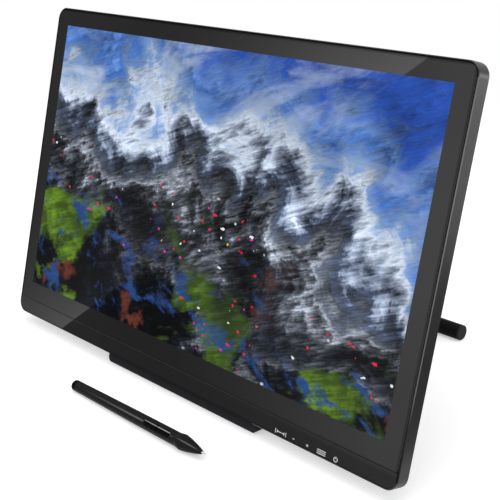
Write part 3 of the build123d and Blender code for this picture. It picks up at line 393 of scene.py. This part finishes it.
def glassFinish(name, look):
    made = Finish(name, SpecularIorLevel=0.0, Roughness=look["roughness"], EmissionStrength=1.0,
                  CoatRoughness=look["glossRoughness"])
    across = made.along((1, 0, 0), display["middle"])
    rise = made.along(panelUp, display["middle"])
    window = (abs(across) < display["activeHalf"][0]) * (abs(rise) < display["activeHalf"][1])
    smear = made.noise(made.place(), *look["smear"])
    ink = made.mixed(smear, look["ink"], look["inkLight"])
    made.set(BaseColor=made.mixed(window, ink, look["unlit"]))
    made.set(EmissionColor=made.mixed(window, look["noLight"], pictureColour(made, across, rise)))
    gloss = made.eased(smear, *look["smearGloss"]) * made.eased(abs(across), *look["sideEdge"])
    gloss = gloss * made.eased(rise, *look["topEdge"])
    made.set(CoatWeight=gloss * (look["borderGloss"] - window * (look["borderGloss"] - look["pictureGloss"])))
    return made


boardLook = {"roughness": 0.42, "mask": ((0.006, 0.045, 0.018), (0.012, 0.085, 0.032)),
             "runScale": 160.0, "runEdge": (0.30, 0.42), "runDepth": 0.1, "runHeight": 0.00005,
             "padScale": 320.0, "padRadius": 0.12, "pads": (0.62, 0.60, 0.52)}


def boardFinish(name, look):
    # circuit board: green solder mask with darker angular patches and small pale pads
    made = Finish(name, Roughness=look["roughness"])
    runCells = {"Vector": made.place(), "Scale": look["runScale"]}
    padCells = {"Vector": made.place(), "Scale": look["padScale"]}
    runs = made.add("ShaderNodeTexVoronoi", {"distance": "MANHATTAN"}, runCells, "Distance")
    pads = made.add("ShaderNodeTexVoronoi", None, padCells, "Distance")
    mask = made.mixed(made.eased(runs, *look["runEdge"]), *look["mask"])
    made.set(BaseColor=made.mixed(pads < look["padRadius"], mask, look["pads"]))
    made.bump(runs, look["runDepth"], look["runHeight"])
    return made


# the pen's black plastic, with the colour of its painted highlight line
penBlack = {"dark": (0.011, 0.011, 0.011), "light": (0.016, 0.016, 0.016), "roughness": 0.24,
            "grainScale": 3000.0, "grainDepth": 0.04, "specular": 0.04, "paintedHighlight": (0.15, 0.15, 0.15)}
plasticLooks = {
    "coverPlastic": {"dark": (0.010, 0.010, 0.011), "light": (0.017, 0.017, 0.018), "roughness": 0.52,
                     "grainScale": 1500.0, "grainDepth": 0.35},
    "chinPlastic": {"dark": (0.0045, 0.0045, 0.005), "light": (0.0075, 0.0075, 0.008), "roughness": 0.45,
                    "grainScale": 2600.0, "grainDepth": 0.08, "specular": 0.0, "gloss": 1.0},
    "buttonPlastic": {"dark": (0.012, 0.012, 0.013), "light": (0.020, 0.020, 0.021), "roughness": 0.32,
                      "grainScale": 2600.0, "grainDepth": 0.06},
    "footPlastic": {"dark": (0.028, 0.029, 0.032), "light": (0.036, 0.037, 0.041), "roughness": 0.50,
                    "grainScale": 2200.0, "grainDepth": 0.10, "specular": 0.0},
    "footRubber": {"dark": (0.010, 0.010, 0.010), "light": (0.020, 0.019, 0.018), "roughness": 0.80,
                   "grainScale": 1200.0, "grainDepth": 0.45},
    "barRubber": {"dark": (0.005, 0.005, 0.005), "light": (0.009, 0.009, 0.009), "roughness": 0.60,
                  "grainScale": 1400.0, "grainDepth": 0.30, "specular": 0.05},
    "barCapPlastic": {"dark": (0.009, 0.009, 0.009), "light": (0.014, 0.014, 0.014), "roughness": 0.50,
                      "grainScale": 1800.0, "grainDepth": 0.25, "specular": 0.10},
    "standSteel": {"dark": (0.010, 0.010, 0.011), "light": (0.018, 0.018, 0.019), "roughness": 0.46,
                   "grainScale": 700.0, "grainDepth": 0.30, "grainHeight": 0.00015},
    # the barrel's and the nose's pale line colours are painted highlights
    "penPlastic": {**penBlack, "highlightTurn": 49.0, "highlightHalf": 0.0013,
                   "highlightStart": (0.015, 0.105, 0.10, 1.0), "highlightEnd": (0.100, 0.112, 1.0, 0.25)},
    "penNosePlastic": {**penBlack, "highlightTurn": 44.0, "highlightHalf": 0.0008,
                       "highlightStart": (0.150, 0.159, 0.1, 1.0), "highlightEnd": (0.167, 0.176, 1.0, 0.0)},
    # the buttons' pale line colour is a painted highlight along their upper edge
    "penButtonPlastic": {"dark": (0.0010, 0.0010, 0.0010), "light": (0.002, 0.002, 0.002), "roughness": 0.14,
                         "grainScale": 3000.0, "grainDepth": 0.02, "specular": 0.05,
                         "paintedHighlight": (0.42, 0.42, 0.42), "highlightTurn": 36.0, "highlightHalf": 0.0007,
                         "highlightStart": (0.10, 0.13, 0.5, 1.0), "highlightEnd": (0.135, 0.145, 1.0, 0.8)},
    "penCapPlastic": {"dark": (0.002, 0.002, 0.002), "light": (0.004, 0.004, 0.004), "roughness": 0.20,
                      "grainScale": 3000.0, "grainDepth": 0.02, "specular": 0.03},
    "nibPlastic": {"dark": (0.70, 0.70, 0.68), "light": (0.82, 0.82, 0.80), "roughness": 0.45,
                   "grainScale": 3000.0, "grainDepth": 0.05},
    "blackTape": {"dark": (0.010, 0.010, 0.010), "light": (0.020, 0.020, 0.020), "roughness": 0.75,
                  "grainScale": 1800.0, "grainDepth": 0.2},
    "opticalSheet": {"dark": (0.66, 0.68, 0.70), "light": (0.80, 0.81, 0.82), "roughness": 0.35,
                     "grainScale": 2400.0, "grainDepth": 0.1},
    "cellWrap": {"dark": (0.05, 0.10, 0.22), "light": (0.08, 0.15, 0.30), "roughness": 0.35,
                 "grainScale": 900.0, "grainDepth": 0.15},
    "switchPlastic": {"dark": (0.016, 0.016, 0.017), "light": (0.05, 0.05, 0.05), "roughness": 0.5,
                      "grainScale": 1600.0, "grainDepth": 0.1},
}
metalLooks = {
    "tinPlate": {"dark": (0.50, 0.51, 0.52), "light": (0.66, 0.67, 0.68), "roughness": 0.34,
                 "lineScale": (30, 900, 900)},
    "shieldAluminium": {"dark": (0.62, 0.63, 0.64), "light": (0.76, 0.77, 0.78), "roughness": 0.36,
                        "lineScale": (30, 700, 700)},
    "socketMetal": {"dark": (0.48, 0.47, 0.45), "light": (0.64, 0.63, 0.60), "roughness": 0.28,
                    "lineScale": (900, 300, 60)},
    "screwSteel": {"dark": (0.045, 0.045, 0.048), "light": (0.10, 0.10, 0.105), "roughness": 0.38,
                   "lineScale": (500, 500, 500)},
    "shaftSteel": {"dark": (0.34, 0.34, 0.35), "light": (0.52, 0.52, 0.53), "roughness": 0.26,
                   "lineScale": (40, 900, 900)},
    "springSteel": {"dark": (0.26, 0.25, 0.24), "light": (0.42, 0.41, 0.39), "roughness": 0.30,
                    "lineScale": (900, 120, 120)},
    "copperWire": {"dark": (0.42, 0.16, 0.07), "light": (0.72, 0.32, 0.16), "roughness": 0.32,
                   "lineScale": (1800, 120, 120)},
}
finishes = {}
for name, look in plasticLooks.items():
    # looks with a pale line colour get a painted highlight
    makeFinish = highlightPaintedFinish if "paintedHighlight" in look else grainedFinish
    finishes[name] = makeFinish(name, look)
for name, look in metalLooks.items():
    finishes[name] = metalFinish(name, look)
finishes["frontGlass"] = glassFinish("frontGlass", glassLook)
finishes["circuitBoard"] = boardFinish("circuitBoard", boardLook)
finishes["framePlastic"] = frameFinish("framePlastic", frameLook)
print("materials made:", len(finishes))

nodeFinishes = {
    "framePlastic": ("front_frame",),
    "coverPlastic": ("rear_cover",),
    "chinPlastic": ("chin_strip",),
    "frontGlass": ("front_glass",),
    "buttonPlastic": ("auto_button", "less_button", "more_button", "menu_button", "power_button"),
    "footPlastic": ("front_foot",),
    "footRubber": ("foot_pad",),
    "barRubber": ("bar_sleeves",),
    "barCapPlastic": ("bar_caps", "dc_jack"),
    "standSteel": ("stand_plate", "leg_plate", "clutch_housing", "release_lever"),
    "penPlastic": ("pen_barrel",),
    "penNosePlastic": ("pen_nose",),
    "penCapPlastic": ("pen_cap",),
    "penButtonPlastic": ("pen_rear_button", "pen_front_button"),
    "nibPlastic": ("pen_nib",),
    "blackTape": ("glass_tape", "lcd_cell"),
    "opticalSheet": ("diffuser_sheets", "light_guide"),
    "switchPlastic": ("button_switches",),
    "cellWrap": ("pen_cell",),
    "tinPlate": ("backlight_tray",),
    "shieldAluminium": ("shield_plate",),
    "socketMetal": ("usb_socket", "hdmi_socket", "vga_socket"),
    "screwSteel": ("cover_screws", "board_screws", "stand_screws", "foot_screws", "clutch_screws",
                   "shaft_nuts"),
    "shaftSteel": ("hinge_shaft", "lever_pin", "rear_bar", "board_spacers"),
    "springSteel": ("hinge_washers", "clutch_spring"),
    "copperWire": ("pen_coil",),
    "circuitBoard": ("main_board", "driver_board", "button_board", "digitizer_board", "led_bar", "pen_board"),
}
dressed = set()
for finishName, names in nodeFinishes.items():
    for name in names:
        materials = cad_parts[name].data.materials
        if not len(materials):
            materials.append(finishes[finishName].material)
        for index in range(len(materials)):
            materials[index] = finishes[finishName].material
        dressed.add(name)
print("nodes without a finish:", sorted(set(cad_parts) - dressed))


# New pieces
def newObject(name, shape, material):
    # the bmesh becomes an object at the origin
    mesh = bpy.data.meshes.new(name)
    shape.to_mesh(mesh)
    shape.free()
    made = bpy.data.objects.new(name, mesh)
    bpy.context.scene.collection.objects.link(made)
    mesh.materials.append(material)
    return made


def newPiece(name, shape, material, body):
    # a new object that rides on its body
    bmesh.ops.recalc_face_normals(shape, faces=shape.faces[:])
    piece = newObject(name, shape, material)
    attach(piece, body)


# Printed marks above the five buttons: fit, less, more, list and on-off signs
marks = {"rise": -0.1641, "thickness": 0.00003, "line": 0.0007,
         "places": (0.1368, 0.1515, 0.1666, 0.1818, 0.1969),
         "fitHalf": 0.0058, "fitPost": 0.0038, "fitBar": 0.0046, "fitLineShare": 0.9,
         "arrowPlace": 0.0034, "arrowRadius": 0.0016, "lessWidth": 0.0020, "moreWidth": 0.0024,
         "moreArm": 0.00085, "moreArmRise": 0.00078, "listWidth": 0.0092, "listStep": 0.0015,
         "ringRadius": 0.0018, "ringDrop": 0.0001, "ringGap": 1.1, "ringSteps": 40, "stem": 0.0021,
         "stemRise": 0.0014}


def addBar(shape, across, rise, width, height):
    size = Matrix.Diagonal((width, height, marks["thickness"], 1))
    place = Matrix.Translation((across, rise, marks["thickness"] / 2))
    bmesh.ops.create_cube(shape, size=1, matrix=place @ size)


def addRing(shape, across, rise, radius, line, gap):
    # a small upright square spun round the middle, open by the gap at its top
    made = bmesh.ops.create_grid(shape, x_segments=1, y_segments=1, size=0.5)
    turned = Matrix.Translation((across, rise, 0)) @ Matrix.Rotation((math.pi + gap) / 2, 4, "Z")
    stood = Matrix.Translation((radius, 0, marks["thickness"] / 2)) @ Matrix.Rotation(math.pi / 2, 4, "X")
    square = Matrix.Diagonal((line, marks["thickness"], 1, 1))
    bmesh.ops.transform(shape, matrix=turned @ stood @ square, verts=made["verts"])
    faces = list({face for vert in made["verts"] for face in vert.link_faces})
    edges = list({edge for face in faces for edge in face.edges})
    bmesh.ops.spin(shape, geom=made["verts"] + edges + faces, cent=(across, rise, 0), axis=(0, 0, 1),
                   angle=2 * math.pi - gap, steps=marks["ringSteps"], use_duplicate=False)


def addArrow(shape, across, rise, radius, heading):
    made = bmesh.ops.create_cone(shape, cap_ends=True, segments=3, radius1=radius, radius2=radius,
                                 depth=marks["thickness"])
    turn = Matrix.Translation((across, rise, marks["thickness"] / 2)) @ Matrix.Rotation(heading, 4, "Z")
    bmesh.ops.transform(shape, matrix=turn, verts=made["verts"])


def makeMarks():
    shape = bmesh.new()
    line, rise = marks["line"], marks["rise"]
    fit, less, more, menu, power = marks["places"]
    for side in (-1, 1):
        addBar(shape, fit + side * marks["fitHalf"], rise, line, marks["fitPost"])
        addArrow(shape, fit + side * marks["arrowPlace"], rise, marks["arrowRadius"], side * math.pi / 2)
    addBar(shape, fit, rise, marks["fitBar"], line * marks["fitLineShare"])
    addBar(shape, less, rise, marks["lessWidth"], line)
    addBar(shape, more, rise, marks["moreWidth"], line)
    for side in (1, -1):
        addBar(shape, more, rise + side * marks["moreArmRise"], line, marks["moreArm"])
    for step in (-1, 0, 1):
        addBar(shape, menu, rise + step * marks["listStep"], marks["listWidth"], line)
    addRing(shape, power, rise - marks["ringDrop"], marks["ringRadius"], line, marks["ringGap"])
    addBar(shape, power, rise + marks["stemRise"], line, marks["stem"])
    bmesh.ops.transform(shape, matrix=panelMatrix, verts=shape.verts[:])
    return shape


markLook = {"dark": (0.62, 0.62, 0.62), "light": (0.80, 0.80, 0.80), "roughness": 0.6, "grainScale": 3000.0,
            "grainDepth": 0.02}
newPiece("chin_marks", makeMarks(), grainedFinish("markInk", markLook).material, "display")
print("marks made")

# Stage: pale floor, soft lamps, and cards that only gloss sees
studio = {"floorHalf": 1.4, "floorColour": (0.86, 0.86, 0.865), "floorLift": 0.43, "worldLight": 0.58,
          "aim": (0, 0.05, 0.15)}


def stagePlane(name, corners, material):
    shape = bmesh.new()
    shape.faces.new([shape.verts.new(corner) for corner in corners])
    plane = newObject(name, shape, material)
    return plane


# The corners of a level plane and of a standing one
def lying(left, right, front, back, height):
    return [(left, front, height), (right, front, height), (right, back, height), (left, back, height)]


def upright(left, right, depth, bottom, top):
    return [(left, depth, bottom), (right, depth, bottom), (right, depth, top), (left, depth, top)]


def seenDirectly(made):
    # 1 for rays from the camera or off gloss and glass, which show the plain white backdrop
    names = ("Is Camera Ray", "Is Glossy Ray", "Is Transmission Ray")
    cameraRay, glossyRay, glassRay = (made.add("ShaderNodeLightPath", output=name) for name in names)
    return (cameraRay + glossyRay + glassRay).maths("MINIMUM", 1.0)


floorFinish = Finish("floor", BaseColor=studio["floorColour"], Roughness=1.0, SpecularIorLevel=0.0,
                     EmissionStrength=1.0)
floorFinish.set(EmissionColor=floorFinish.grey(seenDirectly(floorFinish) * studio["floorLift"]))
floorHalf = studio["floorHalf"]
stagePlane("floor", lying(-floorHalf, floorHalf, -floorHalf, floorHalf, 0), floorFinish.material)

# The glass and the chin mirror a wall card, a floor card and a low card. Their glow is set out in picture
# places, metres across and up from the middle of the panel, and is brightest along a slanting edge, as a soft
# lamp beside a flag is.
glassCards = {"left": -4.5, "right": 0.33, "wall": -1.6, "wallTop": 3.2, "floorEnd": -0.10, "lift": 0.0006,
              "chinHalf": 0.30, "chinWall": -0.045, "chinTop": 0.035,
              "edgePoint": (0.214, 0.15125), "edgeSlant": (0.632, -0.775), "farGlow": 0.30,
              "reach": (-0.14, 0.06, 0.125, 0.20), "peak": (-0.05, 0.13, 0.76, 1.80),
              "rightStart": -0.07, "rightReach": 0.31, "rightLow": 0.22, "rightGain": 0.88,
              "rightBody": (-0.10, 0.0, 0.86, 1.14), "rightTop": (0.04, 0.13, 0.0, 0.18),
              "chinGlow": (-0.158, -0.149, 0.35, 1.0)}
cameraPlace = Vector(photoCamera["place"])
glassDistance = (cameraPlace - panelMiddle).dot(panelOut)
mirrored = cameraPlace - 2 * glassDistance * panelOut
mirroredRise = (mirrored - panelMiddle).dot(panelUp)


def cardGlow(made, look):
    # a card's point glows as set out for the place on the glass that mirrors it in the photograph
    origin = tuple(mirrored)
    reach = glassDistance / made.along(panelOut, origin)
    across = made.along((1, 0, 0), origin) * reach + mirrored.x
    rise = made.along(panelUp, origin) * reach + mirroredRise
    point, slant = look["edgePoint"], look["edgeSlant"]
    past = (across - point[0]) * slant[0] + (rise - point[1]) * slant[1]
    near = (past / made.eased(rise, *look["reach"]) + 1).maths("MAXIMUM", 0.0)
    left = near * near * made.eased(rise, *look["peak"]) + look["farGlow"]
    share = ((across - look["rightStart"]) / look["rightReach"]).maths("MAXIMUM", 0.0).maths("MINIMUM", 1.0)
    body = (made.eased(rise, *look["rightBody"]) - made.eased(rise, *look["rightTop"])) * look["rightGain"]
    right = share * share * body * made.eased(rise, *look["chinGlow"]) + look["rightLow"]
    return left + (past > 0) * (right - left)


def glossCard(name, corners, made):
    card = stagePlane(name, corners, made.material)
    card.visible_camera = card.visible_diffuse = card.visible_shadow = card.visible_transmission = False


patternFinish = Finish("patternCard", BaseColor=(0, 0, 0), SpecularIorLevel=0.0, EmissionStrength=1.0)
patternFinish.set(EmissionColor=patternFinish.grey(cardGlow(patternFinish, glassCards)))
cardLeft, cardRight, cardLift = glassCards["left"], glassCards["right"], glassCards["lift"]
wallPlace, chinHalf = glassCards["wall"], glassCards["chinHalf"]
patternCards = {
    "wallCard": upright(cardLeft, cardRight, wallPlace, 0, glassCards["wallTop"]),
    "floorCard": lying(cardLeft, cardRight, wallPlace, glassCards["floorEnd"], cardLift),
    "chinCard": upright(-chinHalf, chinHalf, glassCards["chinWall"], cardLift, glassCards["chinTop"]),
}
for name, corners in patternCards.items():
    glossCard(name, corners, patternFinish)

# Plain cards: a dim one for the side wall, bright ones for the frame's front edge
plainCards = {
    "sideCard": (0.16, [(0.300, -0.095, cardLift), (0.80, -0.095, cardLift), (0.60, 0.50, cardLift),
                        (0.300, 0.50, cardLift)]),
    "edgeFloorCard": (5.2, [(0.34, -0.10, cardLift), (0.34, -0.16, cardLift), (1.20, -1.20, cardLift),
                            (1.75, -0.50, cardLift), (0.50, -0.10, cardLift)]),
    "edgeCard": (5.2, [(1.20, -1.20, 0), (1.75, -0.50, 0), (1.75, -0.50, 0.75), (1.20, -1.20, 0.75)]),
}
for name, (strength, corners) in plainCards.items():
    glossCard(name, corners, Finish(name, BaseColor=(0, 0, 0), SpecularIorLevel=0.0, EmissionColor=(1, 1, 1),
                                    EmissionStrength=strength))

lamps = {
    "keyLamp": {"place": (0.6, 0.25, 2.5), "size": (1.5, 1.5), "power": 12.0},
    "wallLamp": {"place": (1.10, 1.12, 0.30), "size": (0.50, 0.36), "power": 3.1},
    "topLamp": {"place": (0.2, -1.1, 1.8), "size": (1.8, 1.8), "power": 14.0},
}
for name, settings in lamps.items():
    data = bpy.data.lights.new(name, "AREA")
    data.shape = "RECTANGLE"
    data.size, data.size_y = settings["size"]
    data.energy = settings["power"]
    lamp = bpy.data.objects.new(name, data)
    bpy.context.scene.collection.objects.link(lamp)
    lamp.location = settings["place"]
    lamp.rotation_mode = "QUATERNION"
    lamp.rotation_quaternion = (Vector(studio["aim"]) - Vector(settings["place"])).to_track_quat("-Z", "Y")

world = bpy.data.worlds.new("studio")
bpy.context.scene.world = world
world.use_nodes = True
sky = Nodes(world.node_tree)
direct = seenDirectly(sky)
background = world.node_tree.nodes["Background"]
background.inputs["Color"].default_value = (1, 1, 1, 1)
sky.feed(background.inputs["Strength"], direct + (1 - direct) * studio["worldLight"])
print("stage set")
